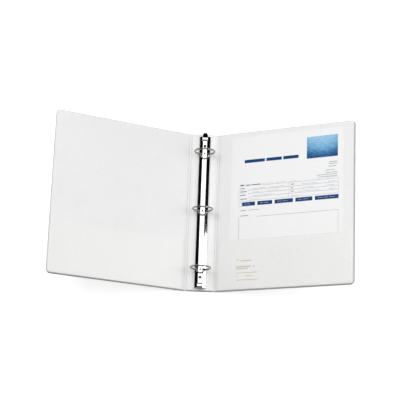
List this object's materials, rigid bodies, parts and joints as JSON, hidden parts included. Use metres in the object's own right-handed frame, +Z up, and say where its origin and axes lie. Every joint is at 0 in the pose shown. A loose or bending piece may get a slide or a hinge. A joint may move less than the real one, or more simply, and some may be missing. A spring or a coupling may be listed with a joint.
{
  "type": "ring binder",
  "caption": "White vinyl ring binder lying open on its spine with both covers raised, chrome ring mechanism with end levers, inside pockets and a loose printed sheet.",
  "frame": {"origin": "centre of the spine's underside, on the surface the binder stands on", "axes": "+X across the binder towards the back cover, +Y along the spine towards the top edge, +Z up out of the open binder"},
  "size_m": [0.527, 0.2946, 0.1234],
  "materials": {
    "vinyl": "satin",
    "pocket_vinyl": "satin",
    "chipboard": "matte",
    "printed_paper": "matte",
    "chrome": "polished",
    "ring_wire": "polished",
    "plated_steel": "satin",
    "rivet": "satin"
  },
  "bodies": {
    "spine": {"spine_outer_vinyl": "vinyl", "spine_board": "chipboard", "spine_inner_lining": "vinyl", "front_hinge_strip": "vinyl", "back_hinge_strip": "vinyl", "arched_plate": "chrome", "lever_pivot_pins": "plated_steel", "mounting_rivets": "rivet"},
    "front_cover": {"front_outer_vinyl": "vinyl", "front_board": "chipboard", "front_inner_lining": "vinyl", "front_inside_pocket": "pocket_vinyl"},
    "back_cover": {"back_outer_vinyl": "vinyl", "back_board": "chipboard", "back_inner_lining": "vinyl", "back_inside_pocket": "pocket_vinyl"},
    "insert": {"insert_sheet": "printed_paper"},
    "left_rings": {"left_prong_plate": "plated_steel", "left_ring_half_top": "ring_wire", "left_ring_half_middle": "ring_wire", "left_ring_half_bottom": "ring_wire"},
    "right_rings": {"right_prong_plate": "plated_steel", "right_ring_half_top": "ring_wire", "right_ring_half_middle": "ring_wire", "right_ring_half_bottom": "ring_wire"},
    "top_lever": {"top_lever": "chrome"},
    "bottom_lever": {"bottom_lever": "chrome"}
  },
  "joints": [
    {"name": "front_cover_hinge", "type": "hinge", "parent": "spine", "child": "front_cover", "pos_m": [-0.0265, 0, 0.0004], "axis": [0, 1, 0], "range_deg": [-27, 60], "deforming": ["front_hinge_strip"]},
    {"name": "back_cover_hinge", "type": "hinge", "parent": "spine", "child": "back_cover", "pos_m": [0.0265, 0, 0.0004], "axis": [0, -1, 0], "range_deg": [-27, 60], "deforming": ["back_hinge_strip"]},
    {"name": "insert_slide", "type": "slide", "parent": "back_cover", "child": "insert", "axis": [0, 1, 0], "range_m": [0, 0.092]},
    {"name": "left_ring_hinge", "type": "hinge", "parent": "spine", "child": "left_rings", "pos_m": [-0.0085, 0, 0.006], "axis": [0, -1, 0], "range_deg": [0, 13.5]},
    {"name": "right_ring_hinge", "type": "hinge", "parent": "spine", "child": "right_rings", "pos_m": [0.0085, 0, 0.006], "axis": [0, 1, 0], "range_deg": [0, 13.5]},
    {"name": "top_lever_pivot", "type": "hinge", "parent": "spine", "child": "top_lever", "pos_m": [0, 0.1342, 0.0064], "axis": [-1, 0, 0], "range_deg": [0, 20]},
    {"name": "bottom_lever_pivot", "type": "hinge", "parent": "spine", "child": "bottom_lever", "pos_m": [0, -0.1342, 0.0064], "axis": [1, 0, 0], "range_deg": [0, 20]}
  ],
  "couplings": [
    {"joint": "right_ring_hinge", "follows": "left_ring_hinge", "ratio": 1},
    {"joint": "top_lever_pivot", "follows": "left_ring_hinge", "ratio": 1.48},
    {"joint": "bottom_lever_pivot", "follows": "left_ring_hinge", "ratio": 1.48}
  ]
}
